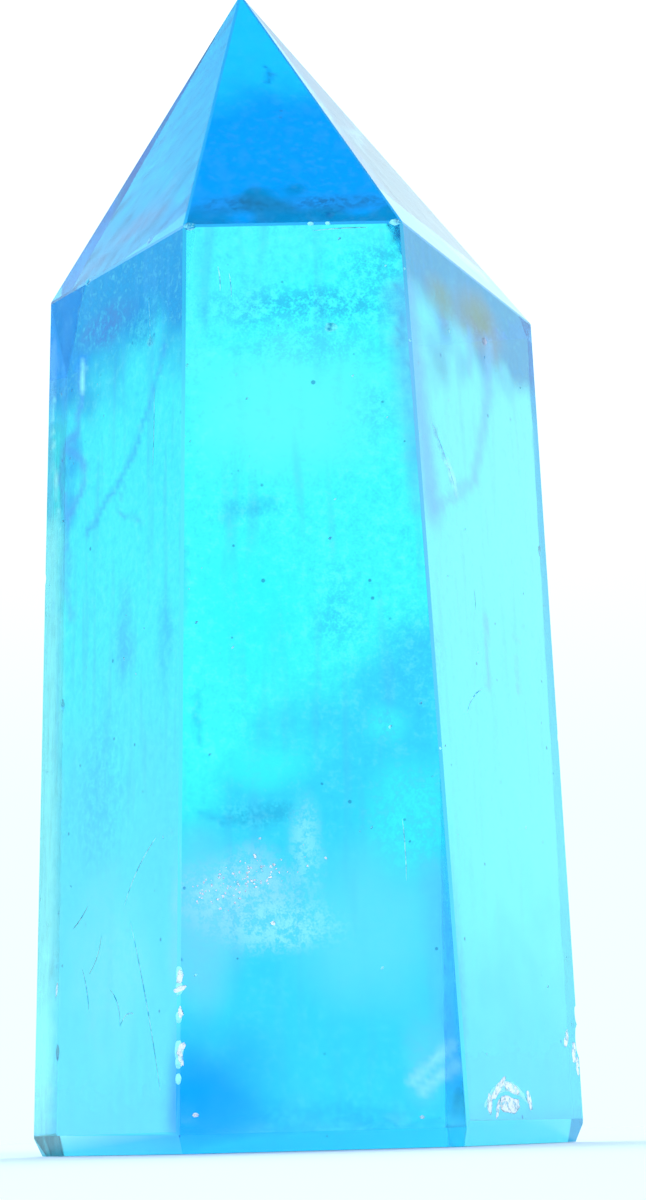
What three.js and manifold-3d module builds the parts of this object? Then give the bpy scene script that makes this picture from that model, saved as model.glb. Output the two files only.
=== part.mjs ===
// A quartz point: a six-sided crystal with its natural form ground and polished flat.
// The column stands on a flat cut base, tapers a little upwards, and ends in six facets
// that meet in one worn tip to the left of the middle. Millimetres, +Z up, seen from -Y.
// The solid is made as a lapidary makes it: a block is ground down facet by facet, then the
// edges are eased, and last come the flakes and pits that wear has left.

import * as THREE from "three";
import { mergeVertices } from "three/addons/utils/BufferGeometryUtils.js";
import Module from "manifold-3d";

const wasm = await Module();
wasm.setup();

// Driving dimensions
const HEIGHT = 70;
const WIDTH = 30.8; // of the cut base from corner to corner, before its edges are eased
const DEPTH = 26.8;
const SHOULDER = 49.4; // where the front facet of the tip begins
const TIP_LEFT_OF_MIDDLE = 2.5;
const TIP_BEHIND_MIDDLE = 1.2;
const TIP_WORN_OFF = 0.38;

const BASE_BEVEL_INSET = 0.48;
const COLUMN_EDGE_FLAT = 0.24; // width of the narrow flat that eases an edge
const SHOULDER_EDGE_FLAT = 0.2;
const TIP_EDGE_FLAT = 0.2;

const PITS_PER_FACET = 9;
const PIT_RADIUS = [0.09, 0.2];

const COATED_QUARTZ = new THREE.MeshStandardMaterial({
  color: 0x35c8f5,
  roughness: 0.08,
  metalness: 0.0,
});

const half = WIDTH / 2;
const front = -DEPTH / 2;
const back = DEPTH / 2;
const corner = (x, y, z) => new THREE.Vector3(x, y, z);

// Corners of the cut base, before its bevel, going round from the left
const baseLeft = corner(-half, 0.2, 0);
const baseFrontLeft = corner(-6.46, front, 0);
const baseFrontRight = corner(8.28, front, 0);
const baseRight = corner(half, 0.2, 0);
const baseBackRight = corner(7.8, back - 0.3, 0);
const baseBackLeft = corner(-7.7, back, 0);

const apex = corner(-TIP_LEFT_OF_MIDDLE, TIP_BEHIND_MIDDLE, HEIGHT + TIP_WORN_OFF);
const inside = corner(0, 0, HEIGHT / 2);

/** The plane through three points, with its normal pointing out of the crystal. */
function facetThrough(a, b, c) {
  const plane = new THREE.Plane().setFromCoplanarPoints(a, b, c);
  return plane.distanceToPoint(inside) > 0 ? plane.negate() : plane;
}

/** The point of a plane at a given x and z. */
function onPlane(plane, x, z) {
  const { normal, constant } = plane;
  return corner(x, -(constant + normal.x * x + normal.z * z) / normal.y, z);
}

/** The point where two planes cross at height z. */
function whereTheyCross(planeA, planeB, z) {
  const a = planeA.normal;
  const b = planeB.normal;
  const fromA = -(planeA.constant + a.z * z);
  const fromB = -(planeB.constant + b.z * z);
  const det = a.x * b.y - a.y * b.x;
  return corner((fromA * b.y - fromB * a.y) / det, (a.x * fromB - b.x * fromA) / det, z);
}

// The shoulders are where the column's faces meet the facets of the tip. Each lies on the
// faces that it ends, so that every face stays flat.
const shoulderFrontLeft = corner(-5.4, front, SHOULDER);
const shoulderFrontRight = corner(6.5, front, SHOULDER - 0.1);
const faceFront = facetThrough(baseFrontLeft, baseFrontRight, shoulderFrontLeft);
const faceLeft = facetThrough(baseLeft, baseFrontLeft, shoulderFrontLeft);
const faceRight = facetThrough(baseRight, baseFrontRight, shoulderFrontRight);
const shoulderLeft = onPlane(faceLeft, -14.3, SHOULDER + 0.6);
const shoulderRight = onPlane(faceRight, 14.8, SHOULDER - 0.8);
const faceBackLeft = facetThrough(baseLeft, baseBackLeft, shoulderLeft);
const faceBackRight = facetThrough(baseRight, baseBackRight, shoulderRight);
const shoulderBackLeft = onPlane(faceBackLeft, -6.9, SHOULDER - 1.6);
const faceBack = facetThrough(baseBackLeft, baseBackRight, shoulderBackLeft);
const shoulderBackRight = whereTheyCross(faceBack, faceBackRight, SHOULDER + 0.4);

const basePlane = new THREE.Plane(corner(0, 0, -1), 0);
const wornTipPlane = new THREE.Plane(corner(0, 0, 1), -HEIGHT);

/** One side of the column: its face, its corners seen from outside, its bevel's height, its tip facet. */
function sideOfColumn(face, foot, top, bevel) {
  return { face, foot, top, bevel, tip: facetThrough(apex, top[0], top[1]) };
}

const leftSide = sideOfColumn(
  faceLeft, [baseLeft, baseFrontLeft], [shoulderLeft, shoulderFrontLeft], 1.1,
);
const frontSide = sideOfColumn(
  faceFront, [baseFrontLeft, baseFrontRight], [shoulderFrontLeft, shoulderFrontRight], 0.95,
);
const rightSide = sideOfColumn(
  faceRight, [baseFrontRight, baseRight], [shoulderFrontRight, shoulderRight], 1.25,
);
const backRightSide = sideOfColumn(
  faceBackRight, [baseRight, baseBackRight], [shoulderRight, shoulderBackRight], 1.0,
);
const backSide = sideOfColumn(
  faceBack, [baseBackRight, baseBackLeft], [shoulderBackRight, shoulderBackLeft], 0.9,
);
const backLeftSide = sideOfColumn(
  faceBackLeft, [baseBackLeft, baseLeft], [shoulderBackLeft, shoulderLeft], 1.1,
);
const sides = [leftSide, frontSide, rightSide, backRightSide, backSide, backLeftSide];

/** A three.js geometry as a solid that can be cut and joined. */
function solidFrom(geometry) {
  const bare = geometry.clone();
  bare.deleteAttribute("normal");
  bare.deleteAttribute("uv");
  const merged = mergeVertices(bare, 1e-5);
  return new wasm.Manifold(
    new wasm.Mesh({
      numProp: 3,
      vertProperties: merged.attributes.position.array,
      triVerts: new Uint32Array(merged.index.array),
    }),
  );
}

/** Grinds away everything outside a plane. */
function grind(solid, plane) {
  const { normal, constant } = plane;
  return solid.trimByPlane([-normal.x, -normal.y, -normal.z], constant);
}

/** A narrow flat of a given width along the edge between two facets. */
function easedEdge(facetA, facetB, pointOnEdge, width) {
  const normal = facetA.normal.clone().add(facetB.normal).normalize();
  const halfTurn = facetA.normal.angleTo(facetB.normal) / 2;
  const depth = (width / 2) * Math.tan(halfTurn);
  return new THREE.Plane(normal, -normal.dot(pointOnEdge) + depth);
}

/** The bevel that runs round the cut base below one side's face. */
function baseBevel({ face, foot, top, bevel }) {
  const start = foot[0].clone().lerp(top[0], bevel / top[0].z);
  const turn = Math.atan2(BASE_BEVEL_INSET, bevel);
  const normal = face.normal.clone().multiplyScalar(Math.cos(turn));
  normal.z -= Math.sin(turn);
  normal.normalize();
  return new THREE.Plane(normal, -normal.dot(start));
}

/** A corner that wear has flattened to a given depth, facing a given way. */
function wornCorner(point, facing, depth) {
  const normal = facing.clone().normalize();
  return new THREE.Plane(normal, -normal.dot(point) + depth);
}

/** The crystal with flat facets and sharp edges, ground from a block. */
function groundCrystal() {
  const block = new THREE.BoxGeometry(2 * WIDTH, 2 * DEPTH, 2 * HEIGHT);
  let solid = solidFrom(block.translate(0, 0, HEIGHT / 2));
  for (const side of sides) {
    solid = grind(solid, side.face);
    solid = grind(solid, side.tip);
  }
  return grind(solid, basePlane);
}

/** The same crystal with its edges eased, its base bevelled and its corners worn. */
function easedCrystal(sharp) {
  let solid = grind(sharp, wornTipPlane);
  sides.forEach((side, i) => {
    const next = sides[(i + 1) % sides.length];
    solid = grind(solid, easedEdge(side.face, next.face, side.top[1], COLUMN_EDGE_FLAT));
    solid = grind(solid, easedEdge(side.face, side.tip, side.top[0], SHOULDER_EDGE_FLAT));
    solid = grind(solid, easedEdge(side.tip, next.tip, apex, TIP_EDGE_FLAT));
    solid = grind(solid, baseBevel(side));
  });
  const wornCorners = [
    [shoulderLeft, corner(-0.98, 0, 0.19), 0.21],
    [shoulderLeft, corner(-0.93, 0, 0.37), 0.22],
    [shoulderRight, corner(0.96, 0, 0.28), 0.1],
    [shoulderFrontLeft, corner(-0.4, -0.86, 0.3), 0.12],
    [shoulderBackLeft, corner(-0.45, 0.86, 0.24), 0.15],
    [shoulderBackRight, corner(0.45, 0.86, 0.24), 0.12],
    [apex, corner(-0.4, -0.3, 0.87), 0.31],
    [apex, corner(0.5, 0.2, 0.84), 0.32],
  ];
  for (const [point, facing, depth] of wornCorners) {
    solid = grind(solid, wornCorner(point, facing, depth));
  }
  return solid;
}

/** Numbers from 0 to 1 that are the same each time, for a given seed. */
function steadyRandom(seed) {
  let state = seed;
  return () => {
    state = (state * 1664525 + 1013904223) % 4294967296;
    return state / 4294967296;
  };
}

/** A rounded cutter for a flake or a pit, flattened along the way that it faces. */
function scoop(centre, facing, radius, flatness, detail) {
  const geometry = new THREE.IcosahedronGeometry(radius, detail);
  geometry.scale(1, 1, flatness);
  const turn = new THREE.Quaternion().setFromUnitVectors(corner(0, 0, 1), facing);
  geometry.applyQuaternion(turn);
  return solidFrom(geometry.translate(centre.x, centre.y, centre.z));
}

/** A flake scar on the edge between two facets, biting to a given depth. */
function flake({ facets, between, at, radius, bite }) {
  const facing = facets[0].normal.clone().add(facets[1].normal).normalize();
  const centre = between[0].clone().lerp(between[1], at).addScaledVector(facing, radius * 0.6 - bite);
  return scoop(centre, facing, radius, 0.6, 2);
}

/** Small pits, scattered over one facet between its two low and its two high corners. */
function pitsOn(facet, corners, random) {
  const pits = [];
  for (let i = 0; i < PITS_PER_FACET; i++) {
    const u = 0.04 + 0.92 * random();
    const v = 0.05 + 0.9 * random();
    const low = corners[0].clone().lerp(corners[1], u);
    const high = corners[2].clone().lerp(corners[3], u);
    const radius = PIT_RADIUS[0] + (PIT_RADIUS[1] - PIT_RADIUS[0]) * random() ** 2;
    const centre = facet.projectPoint(low.lerp(high, v), new THREE.Vector3());
    pits.push(scoop(centre, facet.normal, radius, 0.7, 0));
  }
  return pits;
}

/** A flake on the edge that one side of the column shares with the next, at a share of its height. */
function columnEdge(side, next, at, radius, bite) {
  return { facets: [side.face, next.face], between: [side.foot[1], side.top[1]], at, radius, bite };
}

/** A flake on the edge between a side's face and its tip facet, at a share of the way to the right. */
function shoulderEdge(side, at, radius, bite) {
  return { facets: [side.face, side.tip], between: side.top, at, radius, bite };
}

const flakes = [
  columnEdge(frontSide, rightSide, 0.974, 0.5, 0.14),
  columnEdge(frontSide, rightSide, 0.945, 0.75, 0.16),
  columnEdge(frontSide, rightSide, 0.905, 0.45, 0.12),
  columnEdge(frontSide, rightSide, 0.862, 0.9, 0.18),
  columnEdge(frontSide, rightSide, 0.815, 0.8, 0.15),
  columnEdge(frontSide, rightSide, 0.76, 0.4, 0.1),
  columnEdge(frontSide, rightSide, 0.62, 0.35, 0.09),
  columnEdge(frontSide, rightSide, 0.41, 0.45, 0.1),
  columnEdge(leftSide, frontSide, 0.18, 0.6, 0.14),
  columnEdge(leftSide, frontSide, 0.165, 0.42, 0.16),
  columnEdge(leftSide, frontSide, 0.138, 0.5, 0.13),
  columnEdge(leftSide, frontSide, 0.1, 0.9, 0.17),
  columnEdge(leftSide, frontSide, 0.075, 0.4, 0.12),
  columnEdge(leftSide, frontSide, 0.8, 0.4, 0.09),
  columnEdge(leftSide, frontSide, 0.93, 0.5, 0.1),
  columnEdge(rightSide, backRightSide, 0.115, 1.5, 0.3),
  columnEdge(rightSide, backRightSide, 0.145, 0.8, 0.22),
  columnEdge(rightSide, backRightSide, 0.47, 0.5, 0.12),
  columnEdge(backRightSide, backSide, 0.3, 1.1, 0.22),
  columnEdge(backRightSide, backSide, 0.72, 0.7, 0.15),
  columnEdge(backSide, backLeftSide, 0.56, 0.8, 0.18),
  columnEdge(backSide, backLeftSide, 0.12, 1.3, 0.26),
  columnEdge(backLeftSide, leftSide, 0.66, 0.7, 0.14),
  shoulderEdge(frontSide, 0.02, 0.5, 0.14),
  shoulderEdge(frontSide, 0.58, 0.45, 0.08),
  shoulderEdge(frontSide, 0.66, 0.35, 0.08),
  shoulderEdge(frontSide, 0.97, 0.7, 0.16),
  shoulderEdge(leftSide, 0.3, 0.5, 0.09),
  shoulderEdge(backSide, 0.4, 0.8, 0.16),
  shoulderEdge(backRightSide, 0.7, 0.6, 0.12),
];

/** The shallow shell-shaped scar low on the right face. */
function shellScar() {
  const middle = faceRight.projectPoint(corner(10.4, -9.3, 2.9), new THREE.Vector3());
  return scoop(middle.addScaledVector(faceRight.normal, 0.16), faceRight.normal, 1.7, 0.18, 3);
}

/** The finished crystal: eased, then flaked and pitted. */
function wornCrystal() {
  const random = steadyRandom(70);
  const scars = [...flakes.map(flake), shellScar()];
  for (const side of sides) {
    scars.push(...pitsOn(side.face, [...side.foot, ...side.top], random));
    scars.push(...pitsOn(side.tip, [...side.top, apex, apex], random).slice(0, 4));
  }
  return scars.reduce((solid, scar) => solid.subtract(scar), easedCrystal(groundCrystal()));
}

/** A cut solid as a three.js geometry, set so that the middle of its box is over the origin. */
function geometryFrom(solid) {
  const { numVert, numProp, vertProperties, triVerts } = solid.getMesh();
  const positions = new Float32Array(numVert * 3);
  for (let i = 0; i < numVert; i++) {
    positions.set(vertProperties.subarray(i * numProp, i * numProp + 3), i * 3);
  }
  const geometry = new THREE.BufferGeometry()
    .setAttribute("position", new THREE.BufferAttribute(positions, 3))
    .setIndex(new THREE.BufferAttribute(new Uint32Array(triVerts), 1));
  geometry.computeBoundingBox();
  const middle = geometry.boundingBox.getCenter(new THREE.Vector3());
  geometry.translate(-middle.x, -middle.y, 0);
  geometry.computeVertexNormals();
  return geometry;
}

const crystal = new THREE.Mesh(geometryFrom(wornCrystal()), COATED_QUARTZ);
crystal.name = "quartz_point";

const point = new THREE.Group();
point.add(crystal);

export default point;
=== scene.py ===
"""Dresses the coated quartz point: its polished facets under a blue film, with a shadow and a glint painted
into it, and their wear.
"""

import logging
import math
import random
from dataclasses import dataclass, field
from enum import Enum
from functools import cache, cached_property

import bmesh
import bpy
from bmesh.types import BMEdge, BMesh, BMFace, BMVert
from bpy.types import Material, Node, NodeSocket, NodeTree, Object
from mathutils import Matrix, Quaternion, Vector, noise


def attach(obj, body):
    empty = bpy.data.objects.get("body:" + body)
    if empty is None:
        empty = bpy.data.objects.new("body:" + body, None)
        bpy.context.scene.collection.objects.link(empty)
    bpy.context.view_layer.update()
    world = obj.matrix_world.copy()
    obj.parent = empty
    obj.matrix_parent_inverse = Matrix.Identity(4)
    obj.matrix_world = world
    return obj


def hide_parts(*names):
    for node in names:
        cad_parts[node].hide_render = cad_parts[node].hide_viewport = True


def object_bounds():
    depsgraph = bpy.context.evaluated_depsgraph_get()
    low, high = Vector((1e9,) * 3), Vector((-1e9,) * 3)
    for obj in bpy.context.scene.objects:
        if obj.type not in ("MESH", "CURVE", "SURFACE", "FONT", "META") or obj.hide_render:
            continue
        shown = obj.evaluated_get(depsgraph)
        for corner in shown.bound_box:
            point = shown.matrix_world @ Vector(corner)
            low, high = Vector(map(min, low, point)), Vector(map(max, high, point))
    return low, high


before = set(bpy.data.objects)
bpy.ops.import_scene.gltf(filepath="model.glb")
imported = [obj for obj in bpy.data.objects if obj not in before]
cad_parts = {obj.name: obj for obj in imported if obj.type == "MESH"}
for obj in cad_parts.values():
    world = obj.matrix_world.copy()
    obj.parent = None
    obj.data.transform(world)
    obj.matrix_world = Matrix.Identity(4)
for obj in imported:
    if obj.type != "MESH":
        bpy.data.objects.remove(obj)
cad_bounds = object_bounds()

MM = 0.001
NODE = "quartz_point"
FRONT_Y = -13.4  # where the front face is, in millimetres
CUT_TOLERANCE = 1e-5  # millimetres
WORN = 1.0  # the wear of the faces in a scar
NOISE_SEED = 2  # without a set one, the noise that moves outlines differs each run
log = logging.getLogger("quartz_point")

Place = tuple[float, float, float]
Span = tuple[float, float]
Colour = tuple[float, float, float, float]
Input = NodeSocket | Colour | float


def front(x: float, z: float) -> Place:
    """Returns a place on the front face, in millimetres."""
    return x, FRONT_Y, z


@cache
def linear(colour: str) -> Colour:
    """Turns an sRGB hex colour into linear values.

    Args:
        colour: The colour, as "#RRGGBB".

    Returns:
        Linear red, green and blue, and an alpha of 1.
    """
    channels = [int(colour[i:i + 2], 16) / 255 for i in (1, 3, 5)]
    turned = [c / 12.92 if c <= 0.04045 else ((c + 0.055) / 1.055) ** 2.4 for c in channels]
    return (*turned, 1.0)


def add_node(tree: NodeTree, kind: str, settings: dict, links: dict) -> Node:
    """Adds a node with its settings, and links or sets its inputs.

    Args:
        tree: The tree that the node is added to.
        kind: The node's type name, without its leading "ShaderNode".
        settings: The node's own properties.
        links: What goes into each input: another node's output, or a constant.

    Returns:
        The new node.
    """
    node = tree.nodes.new("ShaderNode" + kind)
    for name, value in settings.items():
        setattr(node, name, value)
    for socket, value in links.items():
        if isinstance(value, NodeSocket):
            tree.links.new(value, node.inputs[socket])
        else:
            node.inputs[socket].default_value = value
    return node


def blend(tree: NodeTree, under: Input, over: Input, share: Input) -> NodeSocket:
    """Returns a colour laid over another by a share."""
    factor, first, second, result = 0, 6, 7, 2  # the places of the node's sockets for colours
    links = {factor: share, first: under, second: over}
    return add_node(tree, "Mix", {"data_type": "RGBA"}, links).outputs[result]


def calculate(tree: NodeTree, operation: str, a: Input, b: Input) -> NodeSocket:
    """Returns what a calculation makes of two values."""
    return add_node(tree, "Math", {"operation": operation}, {0: a, 1: b}).outputs[0]


def ramp(tree: NodeTree, value: Input, span: Span, least: Input = 0.0, most: Input = 1.0,
         kind: str = "LINEAR") -> NodeSocket:
    """Returns a value mapped from a span to another one, and held within that."""
    return add_node(tree, "MapRange", {"interpolation_type": kind}, {
        "Value": value, "From Min": span[0], "From Max": span[1], "To Min": least, "To Max": most,
    }).outputs[0]


def noise_field(tree: NodeTree, place: NodeSocket, scale: float, detail: float,
                roughness: float = 0.5) -> NodeSocket:
    """Returns a noise over the object, with its scale per millimetre."""
    return add_node(tree, "TexNoise", {}, {
        "Vector": place, "Scale": scale, "Detail": detail, "Roughness": roughness,
    }).outputs["Fac"]


def place_in_mm(tree: NodeTree) -> NodeSocket:
    """Returns the place on the object, in millimetres."""
    place = add_node(tree, "TexCoord", {}, {}).outputs["Object"]
    return add_node(tree, "VectorMath", {"operation": "SCALE"}, {0: place, "Scale": 1 / MM}).outputs[0]


def empty_finish(name: str) -> tuple[Material, NodeTree]:
    """Makes a finish without any nodes.

    Args:
        name: The finish's name.

    Returns:
        The material and its node tree.
    """
    made = bpy.data.materials.new(name)
    made.use_nodes = True
    made.node_tree.nodes.clear()
    return made, made.node_tree


class Side(Enum):
    """The six sides of the crystal, each with the azimuth that it faces, in degrees from the front."""

    LEFT = -57
    FRONT = 0
    RIGHT = 62
    BACK_RIGHT = 120
    BACK = 180
    BACK_LEFT = -120

    def following(self) -> "Side":
        """Returns the next side to the right, seen from outside."""
        sides = list(Side)
        return sides[(sides.index(self) + 1) % len(sides)]

    def previous(self) -> "Side":
        """Returns the next side to the left, seen from outside."""
        return list(Side)[list(Side).index(self) - 1]


class Zone(Enum):
    """The parts of the crystal that a facet can belong to."""

    COLUMN = "column"
    TIP = "tip"
    BASE = "base"
    BEVEL = "bevel"


@dataclass(frozen=True)
class Facet:
    """A flat face of the crystal, as a plane in millimetres with its normal pointing outwards."""

    normal: Vector
    offset: float

    def foot_of(self, point: Vector) -> Vector:
        """Returns the place on the facet's plane that is nearest to a point."""
        return point - self.normal * (self.normal.dot(point) - self.offset)

    def level(self) -> Vector:
        """Returns the level way along the facet, to the right as seen from outside."""
        return Vector((0, 0, 1)).cross(self.normal).normalized()


def meeting_point(*facets: Facet) -> Vector:
    """Returns the corner where three facets meet, in millimetres."""
    normals = Matrix([facet.normal for facet in facets])
    return normals.inverted() @ Vector([facet.offset for facet in facets])


@dataclass
class GroundForm:
    """The flat facets of the CAD solid, read from its mesh in the frame."""

    smallest_main_area: float = 40.0  # square millimetres
    smallest_bevel_area: float = 8.0
    smallest_flat_area: float = 0.7
    same_turn: float = math.radians(0.6)  # between the normals of one facet's triangles
    base_below: float = -0.9  # limits of a facet's normal.z
    bevel_below: float = -0.2
    tip_above: float = 0.3
    sideless: float = 0.01  # a normal's length in plan, below which it faces no side
    facets: dict[tuple[Zone, Side], Facet] = field(default_factory=dict)
    eased: list[Facet] = field(default_factory=list)

    def read(self) -> None:
        """Gathers the solid's triangles by plane, and keeps the planes that are large enough: the
        facets by their zone and side, and apart from them the narrow flats that ease the edges."""
        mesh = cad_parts[NODE].data
        planes: list[list] = []
        for triangle in sorted(mesh.polygons, key=lambda p: -p.area):
            normal = triangle.normal.copy()
            known = next((p for p in planes if p[0].angle(normal) < self.same_turn), None)
            if known is None:
                offset = normal.dot(mesh.vertices[triangle.vertices[0]].co) / MM
                known = [normal, offset, 0.0]
                planes.append(known)
            known[2] += triangle.area / MM**2
        for normal, offset, area in planes:
            zone, side = self.zone_of(normal), self.side_of(normal)
            least = self.smallest_bevel_area if zone is Zone.BEVEL else self.smallest_main_area
            if area > least:
                self.facets[zone, side] = Facet(normal, offset)
            elif area > self.smallest_flat_area:
                self.eased.append(Facet(normal, offset))

    def zone_of(self, normal: Vector) -> Zone:
        """Finds the part of the crystal that a facet belongs to.

        Args:
            normal: The facet's normal.

        Returns:
            The part.
        """
        if normal.z < self.base_below:
            return Zone.BASE
        if normal.z < self.bevel_below:
            return Zone.BEVEL
        return Zone.TIP if normal.z > self.tip_above else Zone.COLUMN

    def side_of(self, normal: Vector) -> Side:
        """Finds the side of the crystal that a facet faces most nearly.

        Args:
            normal: The facet's normal.

        Returns:
            The side, which is the front for the base.
        """
        if normal.xy.length < self.sideless:
            return Side.FRONT
        azimuth = math.degrees(math.atan2(normal.x, -normal.y))
        return min(Side, key=lambda side: abs((side.value - azimuth + 180) % 360 - 180))

    def column_edge(self, side: Side) -> tuple[Vector, Vector]:
        """Finds the edge between a side's column face and the next one's.

        Args:
            side: The side to the left of the edge.

        Returns:
            The edge's foot and its top.
        """
        a, b = self.facets[Zone.COLUMN, side], self.facets[Zone.COLUMN, side.following()]
        base, tip = self.facets[Zone.BASE, Side.FRONT], self.facets[Zone.TIP, side]
        return meeting_point(a, b, base), meeting_point(a, b, tip)

    def shoulder_edge(self, side: Side) -> tuple[Vector, Vector]:
        """Finds the edge between a side's column face and its tip facet.

        Args:
            side: The side.

        Returns:
            The edge's left and right ends.
        """
        face, tip = self.facets[Zone.COLUMN, side], self.facets[Zone.TIP, side]
        before = self.facets[Zone.COLUMN, side.previous()]
        after = self.facets[Zone.COLUMN, side.following()]
        return meeting_point(before, face, tip), meeting_point(face, after, tip)


def smoothstep(value: float, start: float, end: float) -> float:
    """Returns how far a value has come from a start to an end, from 0 to 1, eased at both."""
    t = min(max((value - start) / (end - start), 0.0), 1.0)
    return t * t * (3 - 2 * t)


def smooth_by_facet(bm: BMesh, widest_turn: float, ground_turn: float) -> None:
    """Shades smooth, with sharp edges wherever a ground face ends and where the turn is sharp.

    Args:
        bm: The mesh, with its worn faces marked.
        widest_turn: The turn in degrees past which an edge between worn faces stays sharp.
        ground_turn: The same for an edge of a ground face.
    """
    wear = bm.faces.layers.float["wear"]
    for face in bm.faces:
        face.smooth = True
    for edge in bm.edges:
        turn = math.degrees(edge.calc_face_angle(0)) if edge.is_manifold else 180.0
        ground = any(face[wear] == 0.0 for face in edge.link_faces)
        edge.smooth = turn < (ground_turn if ground else widest_turn)


def linked_object(bm: BMesh, name: str) -> Object:
    """Puts a mesh into the scene.

    Args:
        bm: The mesh, which is freed.
        name: The object's name.

    Returns:
        The new object.
    """
    mesh = bpy.data.meshes.new(name)
    bm.to_mesh(mesh)
    bm.free()
    made = bpy.data.objects.new(name, mesh)
    bpy.context.scene.collection.objects.link(made)
    return made


def finished_piece(bm: BMesh, name: str, material: Material) -> Object:
    """Turns a mesh in millimetres into a piece that rides on the crystal.

    Args:
        bm: The mesh, which is freed.
        name: The piece's name.
        material: Its finish.

    Returns:
        The new object.
    """
    bmesh.ops.scale(bm, vec=(MM, MM, MM), verts=bm.verts)
    piece = linked_object(bm, name)
    piece.data.materials.append(material)
    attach(piece, "root")
    return piece


@dataclass(frozen=True)
class FilmAndShadeTones:
    """The blue film's colours on one facet, from its lower end to its upper end. On the front face the low
    colour, below a line that rises to the right, is a painted shadow seen through the crystal rather than
    film.
    """

    low: str
    middle: str
    high: str
    low_ends: float  # height in millimetres
    high_starts: float
    # only the front face has a slant, and there the low colour below it is a painted shadow
    shadow_slant: float = 0.0  # how much higher the low colour reaches, for each millimetre to the right
    low_fade: float = 3.0
    high_fade: float = 1.5
    grain: float = 0.0  # how mottled the film is, from 0 to 1


def even_film(colour: str, grain: float = 0.0) -> FilmAndShadeTones:
    """Returns a film of one colour."""
    return FilmAndShadeTones(colour, colour, colour, 0.0, 100.0, grain=grain)


CLEAR_FILM = even_film("#70F2FA", 0.12)
LEFT_EDGE_FILM = FilmAndShadeTones("#50D0F4", "#50D0F4", "#1C84C8", 0.0, 42.0, 0.0, 1.0, 5.0)
RIGHT_EDGE_FILM = FilmAndShadeTones("#58CCF8", "#2C98E0", "#1C7CC0", 16.0, 36.0, 0.0, 8.0, 8.0)
# the film's tones by facet; on the front face the low tone is a painted shadow
FILM_AND_SHADE = {
    Zone.BEVEL: {
        Side.FRONT: even_film("#14A8F0"),
        Side.LEFT: even_film("#34C0E8"),
        Side.RIGHT: even_film("#40C4EC"),
    },
    Zone.COLUMN: {
        # on the front face the darker low tone, below a line rising to the right, is a painted shadow
        # standing for the shade seen through the crystal; the tones above it are the film
        Side.FRONT: FilmAndShadeTones("#20B4EC", "#28F4F8", "#44ECF6", 21.4, 46.0, 0.85, 3.2, 2.5, 0.55),
        Side.LEFT: FilmAndShadeTones("#4CBCE0", "#36D8E6", "#185CB8", 22.0, 42.6, 0.0, 8.0, 2.8, 0.5),
        Side.RIGHT: FilmAndShadeTones("#44BCDC", "#7CEAF6", "#2060A4", 10.0, 43.4, 0.0, 7.0, 2.2, 0.25),
    },
    Zone.TIP: {
        Side.FRONT: FilmAndShadeTones("#004C84", "#0068D0", "#04A0F8", 51.4, 61.0, 0.0, 0.6, 4.0, 0.04),
        Side.LEFT: FilmAndShadeTones("#48BCF4", "#04C4FC", "#04C0FC", 52.6, 61.0, 0.0, 1.2, 4.0),
        Side.RIGHT: FilmAndShadeTones("#38A8C4", "#ECFFFF", "#B0F4FF", 52.0, 61.0, 0.0, 1.0, 4.0),
    },
}


@dataclass(frozen=True)
class Cloud:
    """A soft patch of the film that is thicker, thinner or stained, placed in millimetres."""

    place: Place
    reach: Place
    colour: str
    strength: float
    grain: float = 0.5  # 0 is smooth, and 1 is broken up into blots


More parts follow.
